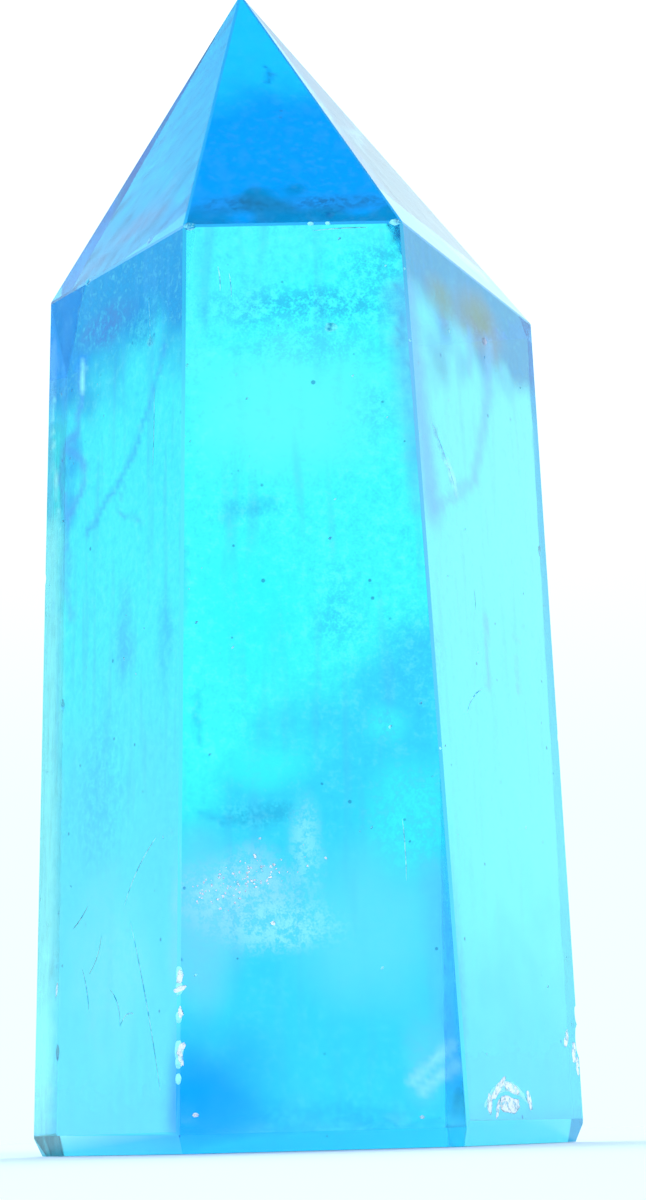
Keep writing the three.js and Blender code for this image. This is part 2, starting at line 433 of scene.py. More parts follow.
CLOUDS = (
    # across the top of the front face, and the smudges and streaks below it
    Cloud(front(1.5, 44.6), (7.0, 2.0, 1.5), "#1478C8", 0.75, 0.95),
    Cloud(front(5.4, 46.8), (2.6, 2.0, 1.6), "#1878C0", 0.6, 0.95),
    Cloud(front(1.0, 42.4), (5.0, 2.0, 1.4), "#2490D0", 0.5, 0.9),
    Cloud(front(0.0, 39.0), (6.0, 2.0, 4.5), "#6CFAFA", 0.8, 0.35),
    Cloud(front(-2.2, 33.3), (2.3, 1.5, 0.75), "#1880CC", 0.5, 0.7),
    Cloud(front(4.6, 38.6), (1.4, 1.5, 2.2), "#28A4D8", 0.55, 0.8),
    Cloud(front(-2.0, 28.0), (3.6, 1.5, 4.6), "#08F2F8", 0.8, 0.3),
    Cloud(front(2.4, 27.6), (1.5, 1.5, 2.6), "#1C8CE0", 0.6, 0.85),
    # the blue below it, with its brighter patches, its blots and its frosted patch
    Cloud(front(6.4, 24.8), (2.0, 1.5, 3.8), "#1C90E4", 0.5, 0.8),
    Cloud(front(-2.0, 17.0), (2.4, 1.5, 0.8), "#0868B0", 0.65, 0.85),
    Cloud(front(-1.7, 19.4), (2.4, 1.5, 1.2), "#20F4F8", 0.9, 0.3),
    Cloud(front(5.7, 16.8), (2.6, 1.5, 3.2), "#2CF2F8", 0.9, 0.7),
    Cloud(front(4.6, 21.6), (1.3, 1.5, 1.0), "#30F0F8", 0.75, 0.8),
    Cloud(front(-3.0, 12.8), (3.6, 1.5, 2.4), "#FFD0FF", 0.9, 0.8),
    Cloud(front(-0.6, 11.2), (3.0, 1.5, 1.4), "#E8E8FF", 0.7, 0.95),
    Cloud(front(0.5, 15.4), (0.9, 1.5, 2.6), "#D8E4FF", 0.65, 0.9),
    Cloud(front(-5.2, 11.4), (2.2, 1.5, 4.8), "#B8A8FF", 0.45, 0.2),
    Cloud(front(-5.2, 2.6), (4.8, 1.5, 4.4), "#006CFF", 1.0, 0.0),
    Cloud(front(0.5, 1.4), (7.0, 1.5, 1.4), "#0C7CE0", 0.7, 0.6),
    Cloud(front(7.7, 8.0), (0.8, 1.5, 8.0), "#1C78F0", 0.75, 0.4),
    Cloud(front(6.2, 4.4), (1.4, 1.5, 2.6), "#9CA8FF", 0.35, 0.5),
    Cloud(front(3.6, 11.0), (4.4, 1.5, 4.6), "#8CD8FC", 0.5, 0.3),
    # the left face: mauve and blue blots at its top, blue by its strands, and violet and pale lower down
    Cloud((-10.6, -6.0, 46.4), (3.4, 4.0, 1.3), "#4A3CA0", 0.75, 0.95),
    Cloud((-8.0, -9.6, 45.4), (2.2, 3.0, 2.0), "#0C48B0", 0.7, 0.85),
    Cloud((-12.8, -2.5, 39.4), (1.1, 1.8, 2.1), "#1450D0", 1.0, 0.3),
    Cloud((-12.9, -2.3, 36.4), (1.0, 1.6, 1.7), "#2450D0", 1.0, 0.35),
    Cloud((-13.0, -2.2, 33.0), (0.6, 1.0, 1.7), "#4C7CE0", 0.7, 0.5),
    Cloud((-9.5, -8.4, 27.8), (0.9, 1.5, 3.4), "#3C60D0", 0.9, 0.4),
    Cloud((-7.1, -12.3, 26.6), (0.8, 1.3, 3.4), "#2C6CDC", 0.85, 0.4),
    Cloud((-11.0, -6.0, 19.0), (3.2, 4.0, 5.0), "#2C8CE0", 0.55, 0.8),
    Cloud((-10.0, -7.0, 10.0), (4.4, 5.0, 5.0), "#98D0E8", 0.6, 0.6),
    # the right face: the ochre stain at its top
    Cloud((11.0, -5.0, 46.4), (3.1, 4.2, 2.0), "#A05800", 1.0, 0.25),
    Cloud((8.6, -9.4, 46.2), (1.6, 2.5, 1.5), "#906020", 0.9, 0.35),
    # the tip: the dark band above the front face, and the mauve wisp across the left facet
    Cloud((-2.6, -12.2, 51.0), (2.6, 1.6, 0.9), "#0C2438", 0.9, 0.7),
    Cloud((3.0, -12.2, 51.0), (3.6, 1.6, 0.9), "#0C2438", 0.95, 0.7),
    Cloud((-8.4, -6.4, 52.2), (3.2, 3.6, 0.9), "#C878A8", 0.7, 0.7),
    Cloud((-11.6, -3.0, 50.9), (2.0, 2.6, 1.0), "#C8A8E0", 0.6, 0.7),
)


@dataclass(frozen=True)
class Vein:
    """A soft-edged line in the film along a facet, or a painted glint, through way points in millimetres.
    """

    path: tuple[Place, ...]
    width: float
    colour: str
    strength: float

    @cached_property
    def box(self) -> list[Span]:
        """The span that the line covers on each axis."""
        return [(min(axis) - self.width, max(axis) + self.width) for axis in zip(*self.path)]


VEINS = (
    # on the left face: a bent line, the strands that loop beside the outer edge, and violet strokes
    Vein((
        (-6.6, -11.7, 43.2), (-7.5, -10.5, 40.4),
        (-9.1, -8.1, 37.1), (-11.7, -4.3, 34.5),
    ), 0.45, "#2C6CD0", 0.75),
    Vein(((-9.1, -8.1, 37.1), (-9.7, -7.4, 34.9), (-8.2, -9.7, 33.8)), 0.25, "#3C70D0", 0.6),
    Vein((
        (-12.0, -3.5, 44.4), (-12.3, -3.2, 41.0),
        (-13.2, -1.9, 40.5), (-11.8, -4.0, 38.7),
    ), 0.6, "#4468D4", 0.8),
    Vein((
        (-11.8, -4.0, 38.7), (-11.9, -3.9, 37.6),
        (-13.0, -2.3, 36.0), (-13.2, -2.1, 34.4),
    ), 0.55, "#4468D4", 0.75),
    Vein(((-13.3, -1.7, 40.4), (-13.6, -1.3, 38.7), (-13.1, -2.2, 35.9)), 0.45, "#5474DC", 0.75),
    Vein(((-13.2, -2.1, 34.4), (-13.4, -1.8, 32.4), (-12.7, -2.9, 30.0)), 0.6, "#5484E0", 0.6),
    Vein((
        (-14.0, -0.5, 43.7), (-14.1, -0.5, 41.3),
        (-13.8, -1.0, 37.4), (-13.5, -1.5, 35.6),
    ), 0.22, "#E8FFFF", 0.9),
    Vein(((-11.9, -3.7, 45.0), (-12.0, -3.6, 43.2)), 0.22, "#E8FFFF", 0.8),
    Vein(((-14.0, -0.4, 46.9), (-14.3, -0.1, 42.0), (-14.3, -0.3, 36.4)), 0.7, "#8C9CE8", 0.5),
    Vein((
        (-14.3, -0.4, 35.0), (-14.4, -0.5, 25.7),
        (-14.6, -0.5, 12.0), (-14.9, -0.5, 2.0),
    ), 2.2, "#E4FFFF", 0.9),
    # on the front face: smears, a dark line under the bright patch, a violet band and slanted flashes
    Vein((front(-3.5, 32.8), front(-2.3, 33.4), front(-0.9, 33.8)), 0.55, "#1488CC", 0.35),
    Vein((
        front(-4.8, 17.2), front(-3.8, 16.7), front(-2.4, 16.8), front(-0.8, 17.0),
    ), 0.35, "#0868B8", 0.6),
    Vein((front(-5.1, 23.6), front(-5.0, 21.0)), 0.3, "#0C78C4", 0.55),
    Vein((front(6.9, 14.0), front(7.1, 9.3), front(7.3, 4.0)), 1.1, "#58A4FF", 0.6),
    Vein((front(5.4, 3.3), front(7.6, 5.1)), 0.45, "#F0DCFF", 0.55),
    Vein((front(6.0, 2.8), front(7.8, 4.1)), 0.42, "#F0DCFF", 0.5),
    # the crescent near the tip, and the dark ticks of chips up the right of the front face
    Vein((
        (-1.0, -3.8, 63.2), (-0.6, -4.4, 62.4),
        (-0.6, -4.7, 62.0), (-0.9, -5.0, 61.5),
    ), 0.26, "#003C78", 0.8),
    Vein((front(6.3, 48.9), front(6.1, 48.3)), 0.26, "#0470A8", 0.8),
    Vein((front(6.2, 47.6), front(5.8, 47.3)), 0.26, "#0470A8", 0.7),
    Vein((front(6.0, 45.6), front(6.4, 45.1)), 0.24, "#0470A8", 0.7),
    Vein((front(6.3, 43.8), front(6.0, 43.1)), 0.3, "#0470A8", 0.75),
    Vein((front(6.4, 42.8), front(6.0, 42.2)), 0.26, "#0470A8", 0.8),
    Vein((front(6.7, 41.2), front(6.7, 40.4)), 0.26, "#0470A8", 0.7),
    # on the right face: the two arms that meet in a point, the sliver, a painted white glint where the arms
    # meet, and the band along its inner edge
    Vein((
        (6.8, -13.2, 44.9), (7.1, -12.9, 39.3),
        (7.4, -12.5, 35.4), (7.6, -12.4, 33.5),
    ), 2.0, "#7088D8", 0.85),
    Vein((
        (11.7, -3.7, 45.3), (11.4, -4.6, 41.7),
        (10.7, -6.1, 38.3), (10.3, -7.1, 36.3),
    ), 0.9, "#6C88DC", 0.65),
    Vein(((10.3, -7.1, 36.3), (9.1, -9.4, 34.9), (7.7, -12.2, 33.4)), 0.7, "#7490DC", 0.6),
    Vein(((10.5, -6.1, 45.5), (10.3, -6.5, 42.8)), 0.6, "#6880D8", 0.55),
    Vein(((7.9, -11.5, 38.5), (8.4, -10.6, 36.4), (9.1, -9.5, 34.9)), 0.22, "#5060A8", 0.8),
    # a painted glint: the white line where the arms meet
    Vein(((8.6, -10.3, 36.4), (9.1, -9.4, 35.2)), 0.4, "#FFFFFF", 0.95),
    Vein(((10.6, -7.0, 28.3), (10.6, -7.3, 24.6)), 0.5, "#8C90EC", 0.6),
    Vein(((12.6, -3.3, 27.9), (12.5, -3.6, 24.9)), 0.45, "#8CA4F0", 0.6),
    Vein(((14.7, 2.2, 47.2), (15.0, 1.9, 36.2), (15.1, 1.3, 25.2)), 0.9, "#5C9CF4", 0.3),
    Vein(((12.4, -2.5, 44.4), (12.4, -2.5, 43.7)), 0.3, "#6C90E8", 0.6),
)


@dataclass(frozen=True)
class Mottle:
    """A tone that a noise brings out in the film, between two levels of the noise."""

    colour: str
    levels: Span  # where the tone starts, and where it is full
    strength: float


@dataclass(frozen=True)
class CoatedQuartz:
    """Clear quartz, polished, under a blue film of metal vapour. It is glassy and see-through, its colour
    comes from the film, in which a shadow and a glint are painted, and fresh chips show the colourless
    crystal below the film."""

    ior: float = 1.544
    polish: float = 0.03
    haze: float = 0.12
    haze_levels: Span = (0.4, 0.75)
    chip_roughness: float = 0.4
    body_tint: str = "#BFF4FF"
    body_density: float = 8.0  # per metre
    relief_scale: float = 0.5  # per millimetre, like the other scales
    relief_height: float = 0.015  # millimetres
    fine_scale: float = 1.9
    stroke_scale: float = 1.1
    stroke_squeeze: Place = (1.0, 1.0, 0.11)  # draws the strokes out up and down
    blot: Mottle = Mottle("#1484DC", (0.5, 0.78), 0.85)
    thin_spot: Mottle = Mottle("#A0FAFF", (0.48, 0.25), 0.4)
    stroke: Mottle = Mottle("#4078DC", (0.55, 0.74), 0.7)
    stain_levels: Span = (0.42, 0.58)  # between which the painted stains break up into blots
    speck: str = "#0C58A0"
    speck_scale: float = 0.7
    speck_draw: Span = (0.5, 1.0)  # no specks below the first, and the widest ones at the second
    speck_radius: float = 0.09  # of the widest ones, in the scale's units
    speck_edge: Span = (-0.015, 0.02)
    speck_strength: float = 0.85

    def coloured(self, tree: NodeTree, place: NodeSocket) -> NodeSocket:
        """Adds the nodes that read the painted film, with its painted shadow and glint, and give it its
        fine grain and specks.

        Args:
            tree: The finish's nodes.
            place: The place on the object, in millimetres.

        Returns:
            The film's colour.
        """
        # the film attribute also carries a painted shadow low on the front face and a painted glint on the
        # right face
        film = add_node(tree, "Attribute", {"attribute_name": "film"}, {}).outputs
        stains = add_node(tree, "Attribute", {"attribute_name": "blots"}, {}).outputs
        squeeze = {0: place, 1: self.stroke_squeeze}
        drawn_out = add_node(tree, "VectorMath", {"operation": "MULTIPLY"}, squeeze).outputs[0]
        fine = noise_field(tree, place, self.fine_scale, 3.0, 0.8)
        strokes = noise_field(tree, drawn_out, self.stroke_scale, 1.0)
        colour = film["Color"]
        for source, mottle in ((fine, self.blot), (fine, self.thin_spot), (strokes, self.stroke)):
            share = ramp(tree, source, mottle.levels, 0.0, mottle.strength)
            grained = calculate(tree, "MULTIPLY", share, film["Alpha"])
            colour = blend(tree, colour, linear(mottle.colour), grained)
        broken = calculate(tree, "MULTIPLY", ramp(tree, fine, self.stain_levels), stains["Alpha"])
        colour = blend(tree, colour, stains["Color"], broken)
        cells = add_node(tree, "TexVoronoi", {"feature": "F1"}, {
            "Vector": place, "Scale": self.speck_scale,
        })
        drawn = add_node(tree, "SeparateColor", {}, {0: cells.outputs["Color"]}).outputs[0]
        radius = ramp(tree, drawn, self.speck_draw, 0.0, self.speck_radius)
        inside = calculate(tree, "SUBTRACT", radius, cells.outputs["Distance"])
        specked = ramp(tree, inside, self.speck_edge, 0.0, self.speck_strength)
        return blend(tree, colour, linear(self.speck), specked)

    def material(self) -> Material:
        """Builds the finish.

        Returns:
            The material.
        """
        made, tree = empty_finish("quartz under a blue vapour film")
        place = place_in_mm(tree)
        relief = noise_field(tree, place, self.relief_scale, 1.0)
        bump = add_node(tree, "Bump", {}, {
            "Height": relief, "Strength": 1.0, "Distance": self.relief_height * MM,
        })
        wear = add_node(tree, "Attribute", {"attribute_name": "wear"}, {}).outputs["Fac"]
        hazy = ramp(tree, relief, self.haze_levels, self.polish, self.haze)
        shader = add_node(tree, "BsdfPrincipled", {}, {
            "Base Color": self.coloured(tree, place),
            "Roughness": ramp(tree, wear, (0.0, WORN), hazy, self.chip_roughness),
            "Normal": bump.outputs[0],
            "IOR": self.ior,
            "Transmission Weight": 1.0,
        })
        body = add_node(tree, "VolumeAbsorption", {}, {
            "Color": linear(self.body_tint),
            "Density": self.body_density,
        })
        add_node(tree, "OutputMaterial", {}, {"Surface": shader.outputs[0], "Volume": body.outputs[0]})
        return made


@dataclass
class FilmShadeAndGlintPainter:
    """Works out the film's colour over the facets, with a painted shadow low on the front face and a
    painted glint on the right face, and writes it on the corners of small faces: the smooth film, and apart
    from it the stains that the finish breaks up into blots."""

    form: GroundForm
    wander: float = 3.2  # millimetres that the film's colour changes wander up and down
    wander_scales: Span = (0.2, 0.55)  # per millimetre
    bend: float = 0.4  # how far the clouds' outlines stray, as a share of their least reach
    bend_scale: float = 0.5
    fray: float = 0.3  # millimetres that the veins' outlines stray
    fray_scale: float = 1.3
    calm_grain: float = 0.35  # the share of the grain that is left at the crystal's foot
    calm_heights: Span = (8.0, 30.0)  # where the grain begins to come back, and where it is full
    cloud_fade: Span = (1.25, 0.2)  # reaches from its middle where a cloud begins and is full
    vein_core: float = 0.1  # the share of a vein's width within which it is full
    same_way: float = 0.9999  # the least cosine between normals of one facet
    nearly_same_way: float = 0.9998  # the same, for finding a facet's tones
    same_plane: float = 0.01  # millimetres
    back_bevel: float = -0.2  # the normal.y past which a bevel is at the back
    back_edge: float = -0.3  # the same for an eased edge
    back_bevel_wear: float = 0.7  # makes the bevels at the back matt
    steps: dict[tuple[Zone, Side], Span] = field(default_factory=lambda: {
        (Zone.COLUMN, Side.FRONT): (0.26, 0.28),
        (Zone.COLUMN, Side.LEFT): (0.4, 0.28),
        (Zone.COLUMN, Side.RIGHT): (0.4, 0.28),
        (Zone.TIP, Side.FRONT): (0.22, 0.2),
        (Zone.TIP, Side.LEFT): (0.4, 0.3),
        (Zone.TIP, Side.RIGHT): (0.4, 0.3),
    })  # the small faces' width and height

    def lies_on(self, face: BMFace, facet: Facet) -> bool:
        """Returns whether a face is a part of a facet."""
        gap = abs(facet.normal.dot(face.verts[0].co) - facet.offset)
        return face.normal.dot(facet.normal) > self.same_way and gap < self.same_plane

    def divide(self, bm: BMesh) -> None:
        """Divides the facets that the film varies over into small faces.

        Args:
            bm: The crystal, in millimetres.
        """
        for key, steps in self.steps.items():
            facet = self.form.facets[key]
            faces = [face for face in bm.faces if self.lies_on(face, facet)]
            geom = list(dict.fromkeys(part for face in faces for part in (face, *face.edges, *face.verts)))
            level = facet.level()
            for axis, step in zip((level, facet.normal.cross(level)), steps):
                spots = [axis.dot(part.co) for part in geom if isinstance(part, BMVert)]
                low, high = min(spots), max(spots)
                count = max(2, round((high - low) / step))
                for number in range(1, count):
                    spot = axis * (low + (high - low) * number / count)
                    geom = bmesh.ops.bisect_plane(
                        bm, geom=geom, dist=CUT_TOLERANCE, plane_co=spot, plane_no=axis,
                    )["geom"]

    def tones_of(self, face: BMFace) -> FilmAndShadeTones:
        """Finds the film tones of the facet that a face belongs to.

        Args:
            face: The face.

        Returns:
            Its tones, which are the clear film's at the back.
        """
        for (zone, side), facet in self.form.facets.items():
            if face.normal.dot(facet.normal) > self.nearly_same_way:
                return FILM_AND_SHADE.get(zone, {}).get(side, CLEAR_FILM)
        if face.normal.y > self.back_edge:
            return CLEAR_FILM
        return LEFT_EDGE_FILM if face.calc_center_median().x < 0 else RIGHT_EDGE_FILM

    def base_at(self, place: Vector, tones: FilmAndShadeTones) -> Vector:
        """Works out the plain film's colour at a place, with the painted shadow low on the front face.

        Args:
            place: The place, in millimetres.
            tones: The tones of its facet.

        Returns:
            The colour.
        """
        broad, small = (noise.noise(place * scale) for scale in self.wander_scales)
        # the slant tilts the low tone's edge, which on the front face is the edge of a painted shadow
        height = place.z - tones.shadow_slant * place.x - (broad + 0.5 * small) * self.wander
        colour = Vector(linear(tones.low)[:3])
        for tone, level, fade in (
            (tones.middle, tones.low_ends, tones.low_fade),
            (tones.high, tones.high_starts, tones.high_fade),
        ):
            colour = colour.lerp(Vector(linear(tone)[:3]), smoothstep(height, level - fade, level + fade))
        return colour

    def film_and_painted_light_at(self, place: Vector, tones: FilmAndShadeTones) -> tuple[Vector, float, Vector, float]:
        """Works out the film at a place, with its painted shadow and painted glint.

        Args:
            place: The place, in millimetres.
            tones: The tones of its facet.

        Returns:
            The smooth film's colour and grain, and the blots' colour and share.
        """
        colour = self.base_at(place, tones)
        lively = smoothstep(place.z, *self.calm_heights)
        grain = tones.grain * (self.calm_grain + (1 - self.calm_grain) * lively)
        blot, blotted = colour.copy(), 0.0
        sway = noise.noise_vector(place * self.bend_scale) * self.bend
        for cloud in CLOUDS:
            bent = place + sway * min(cloud.reach)
            away = Vector([(p - c) / r for p, c, r in zip(bent, cloud.place, cloud.reach)]).length
            if away < self.cloud_fade[0]:
                share = cloud.strength * smoothstep(away, *self.cloud_fade)
                tone = Vector(linear(cloud.colour)[:3])
                colour = colour.lerp(tone, share * (1 - cloud.grain))
                grain *= 1 - share * (1 - cloud.grain)
                added = share * cloud.grain
                total = blotted + added * (1 - blotted)
                if total > 0:
                    blot = (blot * blotted * (1 - added) + tone * added) / total
                blotted = total
        frayed = place + noise.noise_vector(place * self.fray_scale) * self.fray
        for vein in VEINS:
            if all(low < p < high for p, (low, high) in zip(frayed, vein.box)):
                gap = min(self.gap_to(frayed, a, b) for a, b in zip(vein.path, vein.path[1:]))
                share = vein.strength * smoothstep(gap, vein.width, self.vein_core * vein.width)
                colour = colour.lerp(Vector(linear(vein.colour)[:3]), share)
                blotted *= 1 - share
        return colour, grain, blot, blotted

    @staticmethod
    def gap_to(place: Vector, start: Place, end: Place) -> float:
        """Works out how far a place is from a stretch of a line.

        Args:
            place: The place.
            start: One end of the stretch.
            end: Its other end.

        Returns:
            The distance.
        """
        a, b = Vector(start), Vector(end)
        share = min(max((place - a).dot(b - a) / (b - a).length_squared, 0.0), 1.0)
        return (place - a.lerp(b, share)).length

    def paint(self, bm: BMesh) -> None:
        """Writes the film, with its painted shadow and painted glint, on the corners of all faces.

        Args:
            bm: The worn and divided crystal, in millimetres.
        """
        # the film layer holds the film with its painted shadow and its painted glint
        film, blots = (bm.loops.layers.float_color.new(name) for name in ("film", "blots"))
        tone, wear = bm.faces.layers.float_color["tone"], bm.faces.layers.float["wear"]
        known: dict[tuple[int, int], tuple[Vector, float, Vector, float]] = {}
        bm.verts.index_update()
        for face in bm.faces:
            if face[wear] == WORN:
                for corner in face.loops:
                    corner[film] = (*face[tone][:3], 0.0)
                continue
            tones = self.tones_of(face)
            if self.form.zone_of(face.normal) is Zone.BEVEL and face.normal.y > self.back_bevel:
                face[wear] = self.back_bevel_wear
            for corner in face.loops:
                key = (corner.vert.index, id(tones))
                if key not in known:
                    known[key] = self.film_and_painted_light_at(corner.vert.co, tones)
                colour, grain, blot, blotted = known[key]
                corner[film] = (*colour, grain)
                corner[blots] = (*blot, blotted)


@dataclass(frozen=True)
class Flake:
    """A flake lost from an edge: from the column edge at a side's right, or from its shoulder edge."""

    side: Side
    share: float  # of the way up a column edge, or to the right along a shoulder edge
    radius: float
    bite: float
    on_shoulder: bool = False
    colour: str = "#0C6CA8"


FLAKES = (
    Flake(Side.FRONT, 0.945, 0.3, 0.08),
    Flake(Side.FRONT, 0.862, 0.34, 0.08),
    Flake(Side.FRONT, 0.815, 0.26, 0.07),
    Flake(Side.FRONT, 0.41, 0.28, 0.08),
    *(Flake(Side.LEFT, *numbers, colour="#F4FDFF") for numbers in (
        (0.182, 0.6, 0.13), (0.166, 0.42, 0.16), (0.138, 0.5, 0.13),
        (0.104, 0.8, 0.17), (0.092, 0.5, 0.15), (0.075, 0.4, 0.12),
    )),
    *(Flake(Side.RIGHT, *numbers, colour="#E4FAFF") for numbers in ((0.115, 1.5, 0.3), (0.145, 0.8, 0.22))),
    Flake(Side.RIGHT, 0.47, 0.5, 0.12),
    Flake(Side.BACK_RIGHT, 0.72, 0.5, 0.12),
    Flake(Side.BACK, 0.56, 0.5, 0.12),
    Flake(Side.BACK, 0.12, 0.6, 0.14),
    Flake(Side.BACK_LEFT, 0.66, 0.7, 0.14),
    Flake(Side.FRONT, 0.02, 0.5, 0.14, True),
    Flake(Side.FRONT, 0.58, 0.3, 0.06, True),
    Flake(Side.FRONT, 0.66, 0.24, 0.06, True),
    Flake(Side.FRONT, 0.97, 0.4, 0.12, True),
    Flake(Side.LEFT, 0.3, 0.5, 0.09, True),
    Flake(Side.BACK, 0.4, 0.5, 0.12, True),
    Flake(Side.BACK_RIGHT, 0.7, 0.6, 0.12, True),
)


@dataclass(frozen=True)
class Scratch:
    """A fine groove in a facet, from one end to the other, in millimetres."""

    side: Side
    start: Place
    end: Place
    bow: float = 0.0
    width: float = 0.09
    colour: str = "#2E8CC8"


SCRATCHES = (
    Scratch(Side.LEFT, (-9.1, -9.0, 12.2), (-7.4, -11.9, 3.2), 0.2),
    Scratch(Side.LEFT, (-9.4, -8.4, 12.9), (-7.6, -11.4, 16.2), 0.3),
    Scratch(Side.LEFT, (-12.0, -4.4, 10.0), (-11.6, -5.2, 7.6), 0.15),
    Scratch(Side.LEFT, (-10.2, -7.2, 8.6), (-9.7, -8.2, 6.6), 0.35),
    Scratch(Side.LEFT, (-9.7, -8.2, 6.6), (-8.9, -9.5, 7.2), 0.3),
    Scratch(Side.LEFT, (-11.6, -5.0, 13.4), (-12.6, -3.4, 12.2), 0.1),
    Scratch(Side.LEFT, (-10.6, -6.2, 11.6), (-11.4, -5.0, 9.6), 0.25),
    Scratch(Side.LEFT, (-7.4, -10.8, 41.0), (-7.5, -10.7, 36.6), 0.05, 0.07),
    Scratch(Side.LEFT, (-7.7, -10.2, 46.4), (-7.6, -10.4, 43.6), 0.0, 0.06),
    Scratch(Side.FRONT, front(-3.6, 47.0), front(-3.5, 45.6), 0.05, 0.07),
    Scratch(Side.FRONT, front(-3.0, 46.6), front(-2.9, 45.2), 0.04, 0.06),
    Scratch(Side.FRONT, front(1.6, 48.9), front(4.6, 49.0), 0.05, 0.07),
    Scratch(Side.FRONT, front(5.4, 16.6), front(5.5, 13.4), 0.05, 0.06),
    Scratch(Side.RIGHT, (9.3, -10.2, 22.6), (10.3, -8.2, 24.2), 0.25, 0.08),
    Scratch(Side.RIGHT, (8.3, -12.0, 38.4), (9.3, -9.4, 34.8), 0.2, 0.12, "#7C90E0"),
    Scratch(Side.RIGHT, (10.0, -8.2, 29.8), (10.0, -8.2, 28.6), 0.05, 0.07),
    Scratch(Side.RIGHT, (9.2, -11.7, 1.9), (11.9, -6.5, 2.1), 1.0, 0.55, "#FFFFFF"),
)


@dataclass
class Wear:
    """What use has done to the crystal: flakes off its edges, scratches and pits in its facets."""

    form: GroundForm
    pits_per_facet: int = 14
    pit_radius: Span = (0.04, 0.12)
    pit_shape: Place = (1.0, 0.6, 0.5)  # its length, width and depth for each millimetre of radius
    pit_spread: float = 0.47  # the share of a facet's width to each side of its middle
    pit_heights: Span = (0.03, 0.98)  # shares of a facet's height
    pit_lift: float = 0.7  # below 1 there are more pits higher up
    pit_ragged: float = 0.5
    pit_colour: str = "#1C74B8"
    flake_depth: float = 0.6  # the cutter's, as a share of its radius
    flake_ragged: float = 0.45
    groove_depth: float = 0.04
    ripple_scale: float = 2.3
    seed: int = 7
    tones: list[tuple[int, str]] = field(default_factory=list)  # the last face and colour of each scar

    def scar(self, bm: BMesh, centre: Vector, facing: Vector, along: Vector,
             radii: Place, colour: str, bow: float = 0.0, detail: int = 3,
             ragged: float = 0.08) -> None:
        """Adds one rounded cutter.

        Args:
            bm: The cutters, in millimetres.
            centre: The cutter's middle.
            facing: The way out of the crystal there.
            along: The way that the scar runs, at right angles to facing.
            radii: Half the cutter's length, width and depth.
            colour: The film's colour in the scar.
            bow: How far the scar bends to one side over its length.
            detail: How finely the cutter is divided.
            ragged: How far its outline strays, as a share of its size.
        """
        ball = bmesh.ops.create_icosphere(bm, subdivisions=detail, radius=1.0)["verts"]
        across = facing.cross(along)
        for vert in ball:
            u, v, w = vert.co
            ripple = 1 + ragged * noise.noise(vert.co * self.ripple_scale + centre * 3)
            vert.co = (
                centre + along * (u * radii[0] * ripple) + facing * (w * radii[2])
                + across * (v * radii[1] * ripple + bow * (1 - u * u))
            )
        bm.faces.ensure_lookup_table()
        self.tones.append((len(bm.faces), colour))

    def flakes(self, bm: BMesh) -> None:
        """Adds the cutters of the flakes off the edges."""
        for flake in FLAKES:
            if flake.on_shoulder:
                start, end = self.form.shoulder_edge(flake.side)
                other = self.form.facets[Zone.TIP, flake.side]
            else:
                start, end = self.form.column_edge(flake.side)
                other = self.form.facets[Zone.COLUMN, flake.side.following()]
            facing = (self.form.facets[Zone.COLUMN, flake.side].normal + other.normal).normalized()
            depth = self.flake_depth * flake.radius
            centre = start.lerp(end, flake.share) + facing * (depth - flake.bite)
            radii = (flake.radius, flake.radius, depth)
            along = (end - start).normalized()
            self.scar(bm, centre, facing, along, radii, flake.colour, ragged=self.flake_ragged)

    def scratches(self, bm: BMesh) -> None:
        """Adds the cutters of the scratches."""
        for scratch in SCRATCHES:
            facet = self.form.facets[Zone.COLUMN, scratch.side]
            start, end = facet.foot_of(Vector(scratch.start)), facet.foot_of(Vector(scratch.end))
            along = (end - start).normalized()
            radii = ((end - start).length / 2, scratch.width / 2, self.groove_depth)
            self.scar(bm, (start + end) / 2, facet.normal, along, radii, scratch.colour, scratch.bow)

    def pits(self, bm: BMesh) -> None:
        """Adds the cutters of the pits, which lie thickest near the edges."""
        random.seed(self.seed)
        for side in Side:
            facet = self.form.facets[Zone.COLUMN, side]
            foot_a, top_a = self.form.column_edge(side.previous())
            foot_b, top_b = self.form.column_edge(side)
            along = facet.normal.orthogonal().normalized()
            for _ in range(self.pits_per_facet):
                across = 0.5 - self.pit_spread * math.cos(math.pi * random.random())
                up = random.uniform(*self.pit_heights) ** self.pit_lift
                centre = facet.foot_of(foot_a.lerp(foot_b, across).lerp(top_a.lerp(top_b, across), up))
                radius = random.uniform(*self.pit_radius)
                radii = tuple(radius * share for share in self.pit_shape)
                self.scar(bm, centre, facet.normal, along, radii, self.pit_colour,
                          detail=2, ragged=self.pit_ragged)

    def carve(self, bm: BMesh) -> BMesh:
        """Cuts all the scars out of the crystal.

        Args:
            bm: The crystal, in millimetres, which is freed.

        Returns:
            The worn crystal.
        """
        cutters = bmesh.new()
        self.flakes(cutters)
        self.scratches(cutters)
        self.pits(cutters)
        tone = cutters.faces.layers.float_color.new("tone")
        wear = cutters.faces.layers.float.new("wear")
        tones = iter(self.tones)
        last, colour = next(tones)
        for number, face in enumerate(cutters.faces):
            if number >= last:
                last, colour = next(tones)
            face[tone] = linear(colour)
            face[wear] = WORN
        crystal, scars = linked_object(bm, "crystal"), linked_object(cutters, "scars")
        cut = crystal.modifiers.new("scars", "BOOLEAN")
        cut.operation = "DIFFERENCE"
        cut.solver = "EXACT"
        cut.use_self = True
        cut.object = scars
        worn = bmesh.new()
        worn.from_object(crystal, bpy.context.evaluated_depsgraph_get())
        for body in (crystal, scars):
            bpy.data.meshes.remove(body.data)
        return worn


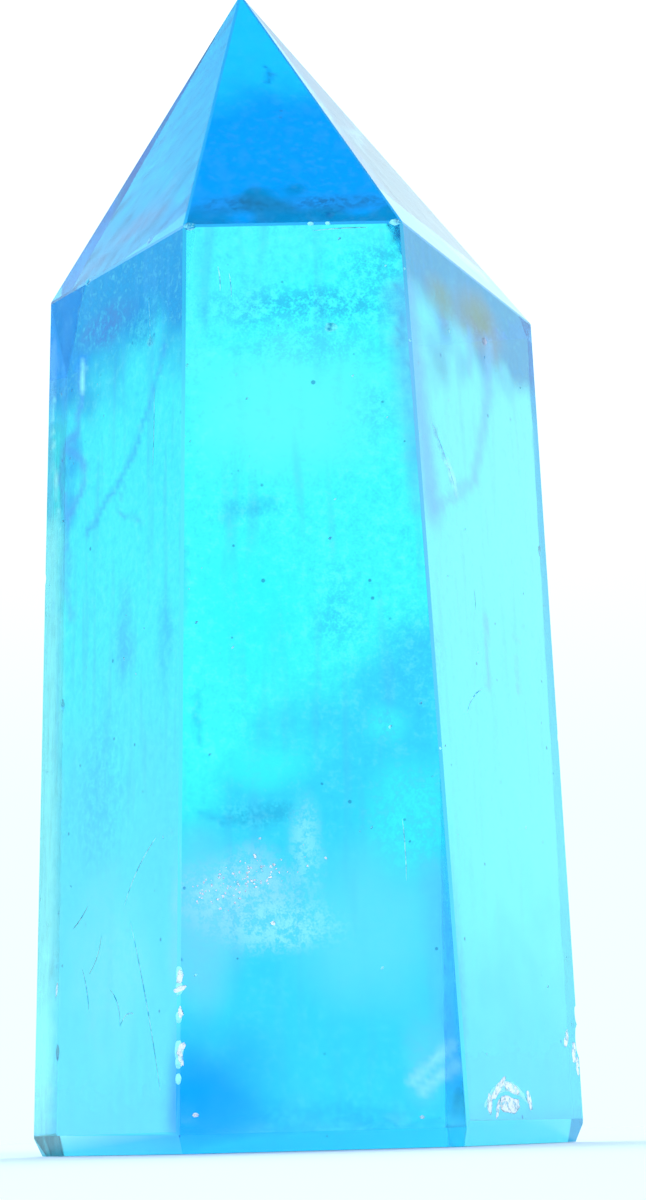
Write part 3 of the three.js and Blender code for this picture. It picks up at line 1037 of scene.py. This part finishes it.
@dataclass
class CrystalBody:
    """The crystal itself, ground flat facet by facet and then eased, chipped and pitted."""

    form: GroundForm
    height: float = cad_bounds[1].z / MM
    block_size: float = 200.0  # millimetres
    left_out: float = 0.6  # the normal.y of an eased flat past which it would show through the crystal
    widest_turn: float = 30.0  # degrees
    ground_turn: float = 0.5

    def ground_block(self) -> BMesh:
        """Cuts a block down to the flat facets and the narrow flats between them.

        Returns:
            The sharp-edged form, in millimetres.
        """
        worn_tip = Facet(Vector((0, 0, 1)), self.height)
        bm = bmesh.new()
        bmesh.ops.create_cube(bm, size=self.block_size)
        eased = [facet for facet in self.form.eased if facet.normal.y < self.left_out]
        for facet in [*self.form.facets.values(), *eased, worn_tip]:
            cut = bmesh.ops.bisect_plane(
                bm, geom=bm.verts[:] + bm.edges[:] + bm.faces[:], dist=CUT_TOLERANCE,
                plane_co=facet.normal * facet.offset, plane_no=facet.normal, clear_outer=True,
            )
            rim = [e for e in cut["geom_cut"] if isinstance(e, BMEdge)]
            if len(rim) > 2:
                bmesh.ops.contextual_create(bm, geom=rim)
        bmesh.ops.recalc_face_normals(bm, faces=bm.faces)
        return bm

    def build(self, finish: CoatedQuartz) -> Object:
        """Builds the piece.

        Args:
            finish: The crystal's finish.

        Returns:
            The object.
        """
        bm = self.ground_block()
        bm.faces.layers.float_color.new("tone")
        bm.faces.layers.float.new("wear")
        bm = Wear(self.form).carve(bm)
        smooth_by_facet(bm, self.widest_turn, self.ground_turn)
        painter = FilmShadeAndGlintPainter(self.form)
        painter.divide(bm)
        painter.paint(bm)
        piece = finished_piece(bm, "crystal_body", finish.material())
        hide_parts(NODE)
        return piece


@dataclass(frozen=True)
class CrushedQuartz:
    """Quartz crushed to white grains where it was knocked, matt and a little see-through between its
    grains.
    """

    colour: str = "#FBFFFF"
    roughness: float = 0.7
    grain_scale: float = 3.5  # per millimetre
    grain_levels: Span = (0.36, 0.52)
    cover: Span = (0.25, 0.95)  # how much the spots hide, at least and at most

    def material(self) -> Material:
        """Builds the finish.

        Returns:
            The material.
        """
        made, tree = empty_finish("crushed white quartz")
        grains = noise_field(tree, place_in_mm(tree), self.grain_scale, 2.0)
        shader = add_node(tree, "BsdfPrincipled", {}, {
            "Base Color": linear(self.colour),
            "Roughness": self.roughness,
            "Alpha": ramp(tree, grains, self.grain_levels, *self.cover),
        })
        add_node(tree, "OutputMaterial", {}, {"Surface": shader.outputs[0]})
        return made


@dataclass(frozen=True)
class Bruise:
    """A white spot where a knock crushed the crystal: a thin ragged lens set into a facet."""

    side: Side
    place: Place
    half_length: float
    half_width: float
    turn: float  # degrees from level


BRUISES = (
    *(Bruise(Side.FRONT, front(*place), *sizes) for place, *sizes in (
        ((-6.2, 8.8), 0.38, 0.16, 80), ((-6.2, 8.2), 0.3, 0.14, 20), ((-6.2, 7.0), 0.3, 0.12, 95),
        ((-6.2, 5.2), 0.34, 0.16, 60), ((-6.2, 4.7), 0.4, 0.12, 100), ((-5.5, 1.9), 0.16, 0.1, 0),
    )),
    *(Bruise(Side.RIGHT, *numbers) for numbers in (
        ((9.5, -11.0, 2.1), 0.5, 0.3, 75), ((10.0, -10.0, 2.8), 1.1, 0.22, 30),
        ((10.8, -8.4, 2.9), 1.0, 0.22, -10), ((10.6, -8.8, 2.0), 1.3, 0.42, 0),
        ((11.9, -6.4, 2.2), 0.55, 0.24, 110), ((9.9, -10.1, 1.8), 0.5, 0.16, 60),
        ((14.5, -1.2, 5.6), 0.5, 0.25, 60), ((14.9, -0.3, 4.9), 0.6, 0.25, 75),
        ((15.2, 0.0, 4.1), 0.5, 0.2, 90),
    )),
    Bruise(Side.LEFT, (-13.8, -2.0, 9.0), 0.4, 0.08, 80),
    Bruise(Side.FRONT, front(5.9, 1.5), 0.12, 0.08, 0),
    Bruise(Side.FRONT, front(-1.4, 11.4), 0.12, 0.1, 0),
)


@dataclass
class Bruises:
    """All the white spots, with the grains of the frosted patch low on the front face."""

    form: GroundForm
    frost_middle: Place = front(-2.9, 13.6)
    frost_reach: Span = (2.6, 1.1)  # across and up
    frost_slope: float = 0.25
    frost_grains: int = 110
    grain_size: Span = (0.02, 0.07)
    grain_length: float = 1.5  # times its size
    crown: float = 0.004  # how far a lens stands proud, in millimetres
    root: float = 0.03
    ragged: float = 0.5
    ripple_scale: float = 1.7
    seed: int = 11

    def lens(self, bm: BMesh, bruise: Bruise, detail: int) -> None:
        """Adds one lens, sunk into its facet but for its crown.

        Args:
            bm: The lenses, in millimetres.
            bruise: The spot that the lens stands for.
            detail: How finely it is divided.
        """
        facet = self.form.facets[Zone.COLUMN, bruise.side]
        centre = facet.foot_of(Vector(bruise.place))
        along = facet.level()
        along.rotate(Quaternion(facet.normal, math.radians(bruise.turn)))
        across = facet.normal.cross(along)
        for vert in bmesh.ops.create_icosphere(bm, subdivisions=detail, radius=1.0)["verts"]:
            u, v, w = vert.co
            ripple = 1 + self.ragged * noise.noise(vert.co * self.ripple_scale + centre * 5)
            height = w * (self.crown if w > 0 else self.root)
            vert.co = (
                centre + along * (u * bruise.half_length * ripple)
                + across * (v * bruise.half_width * ripple) + facet.normal * height
            )

    def build(self, material: Material) -> Object:
        """Builds the piece.

        Args:
            material: The spots' finish.

        Returns:
            The object.
        """
        bm = bmesh.new()
        for bruise in BRUISES:
            self.lens(bm, bruise, 3)
        random.seed(self.seed)
        middle = Vector(self.frost_middle)
        for _ in range(self.frost_grains):
            across, up = (random.gauss(0, reach / 2) for reach in self.frost_reach)
            place = middle + Vector((across, 0, up + self.frost_slope * across))
            size = random.uniform(*self.grain_size)
            turn = random.uniform(0, 180)
            self.lens(bm, Bruise(Side.FRONT, tuple(place), size * self.grain_length, size, turn), 1)
        for face in bm.faces:
            face.smooth = True
        return finished_piece(bm, "white_bruises", material)


@dataclass
class Studio:
    """A pale floor, a white room and the camera at the photograph's place."""

    floor_size: float = 3.0
    floor_drop: float = 0.02 * MM
    floor_colour: str = "#EDFBFD"
    pale_low: str = "#DEFEFF"
    pale_high: str = "#EAFEFF"
    left_blue: str = "#4FC3F0"
    overhead_blue: str = "#1A62B4"
    dim: float = 0.14  # the room's share of light behind the camera
    lamp_colour: str = "#FFFCF6"
    lamp_breadth: float = 40.0  # degrees
    bounces: int = 24
    glossy_bounces: int = 16
    camera_place: Place = (1.62, -136.83, 0.8)
    camera_pitch: float = 12.54
    camera_roll: float = -1.58
    lens: float = 72.0
    clip: Span = (0.005, 20.0)  # metres

    def floor(self) -> None:
        """Makes the floor that the crystal stands on."""
        bm = bmesh.new()
        bmesh.ops.create_grid(bm, x_segments=1, y_segments=1, size=self.floor_size / 2)
        bmesh.ops.translate(bm, vec=(0, 0, -self.floor_drop), verts=bm.verts)
        floor = linked_object(bm, "floor")
        paper, tree = empty_finish("white paper")
        shader = add_node(tree, "BsdfPrincipled", {}, {
            "Base Color": linear(self.floor_colour), "Roughness": 1.0, "Specular IOR Level": 0.0,
        })
        add_node(tree, "OutputMaterial", {}, {"Surface": shader.outputs[0]})
        floor.data.materials.append(paper)

    def world(self) -> None:
        """Makes the room's light: pale all round, bluer at the far left and overhead, and dim behind
        the camera. The background that the camera sees directly is nowhere dimmed."""
        world = bpy.data.worlds.new("room")
        world.use_nodes = True
        tree = world.node_tree
        tree.nodes.clear()
        direction = add_node(tree, "TexCoord", {}, {}).outputs["Generated"]
        x, y, z = add_node(tree, "SeparateXYZ", {}, {0: direction}).outputs
        overhead = ramp(tree, z, (0.42, 0.76), kind="SMOOTHSTEP")
        left = ramp(tree, x, (-0.7, -0.84), kind="SMOOTHSTEP")
        lift = ramp(tree, z, (0.0, 0.34), 0.15, kind="SMOOTHSTEP")
        ahead = ramp(tree, y, (-0.95, -0.3), self.dim, kind="SMOOTHSTEP")
        above = ramp(tree, z, (0.12, 0.27), kind="SMOOTHSTEP")
        pale = blend(tree, linear(self.pale_low), linear(self.pale_high), above)
        sides = blend(tree, pale, linear(self.left_blue), calculate(tree, "MULTIPLY", left, lift))
        colour = blend(tree, sides, linear(self.overhead_blue), overhead)
        seen = add_node(tree, "LightPath", {}, {}).outputs["Is Camera Ray"]
        brightness = ramp(tree, z, (0.36, 0.46), 1.25, 1.44)
        strength = calculate(tree, "MULTIPLY", calculate(tree, "MAXIMUM", ahead, seen), brightness)
        background = add_node(tree, "Background", {}, {"Color": colour, "Strength": strength})
        add_node(tree, "OutputWorld", {}, {"Surface": background.outputs[0]})
        bpy.context.scene.world = world

    def lamp(self, name: str, energy: float, direction: Place) -> None:
        """Adds a broad soft light that the crystal doesn't mirror.

        Args:
            name: The light's name.
            energy: Its strength.
            direction: The way that its light goes.
        """
        data = bpy.data.lights.new(name, "SUN")
        data.energy = energy
        data.angle = math.radians(self.lamp_breadth)
        data.color = linear(self.lamp_colour)[:3]
        lamp = bpy.data.objects.new(name, data)
        lamp.rotation_euler = Vector(direction).to_track_quat("-Z", "Y").to_euler()
        lamp.visible_glossy = False
        lamp.visible_transmission = False
        bpy.context.scene.collection.objects.link(lamp)

    def camera(self) -> None:
        """Puts the camera where the photograph was taken from."""
        data = bpy.data.cameras.new("camera")
        data.lens = self.lens
        data.clip_start, data.clip_end = self.clip
        camera = bpy.data.objects.new("camera", data)
        place = Matrix.Translation(Vector(self.camera_place) * MM)
        pitch = Matrix.Rotation(math.radians(90 + self.camera_pitch), 4, "X")
        roll = Matrix.Rotation(math.radians(self.camera_roll), 4, "Z")
        camera.matrix_world = place @ pitch @ roll
        bpy.context.scene.collection.objects.link(camera)
        bpy.context.scene.camera = camera

    def build(self) -> None:
        """Builds the studio, and sets how far light is followed through the crystal."""
        self.floor()
        self.world()
        self.lamp("light from behind", 2.0, (0.03, -0.45, -0.89))
        self.lamp("light from the front", 1.5, (-0.2, 0.85, -0.5))
        self.camera()
        scene = bpy.context.scene
        scene.view_settings.view_transform = "Standard"
        scene.cycles.max_bounces = self.bounces
        scene.cycles.transmission_bounces = self.bounces
        scene.cycles.glossy_bounces = self.glossy_bounces


def main() -> None:
    """Builds the crystal and its studio, and logs each piece."""
    logging.basicConfig(level=logging.INFO, format="%(message)s")
    noise.seed_set(NOISE_SEED)
    form = GroundForm()
    form.read()
    log.info("facets read: %d, and %d narrow flats", len(form.facets), len(form.eased))
    body = CrystalBody(form).build(CoatedQuartz())
    log.info("%s: %d faces", body.name, len(body.data.polygons))
    bruises = Bruises(form).build(CrushedQuartz().material())
    log.info("%s: %d faces", bruises.name, len(bruises.data.polygons))
    Studio().build()


if __name__ == "__main__":
    main()
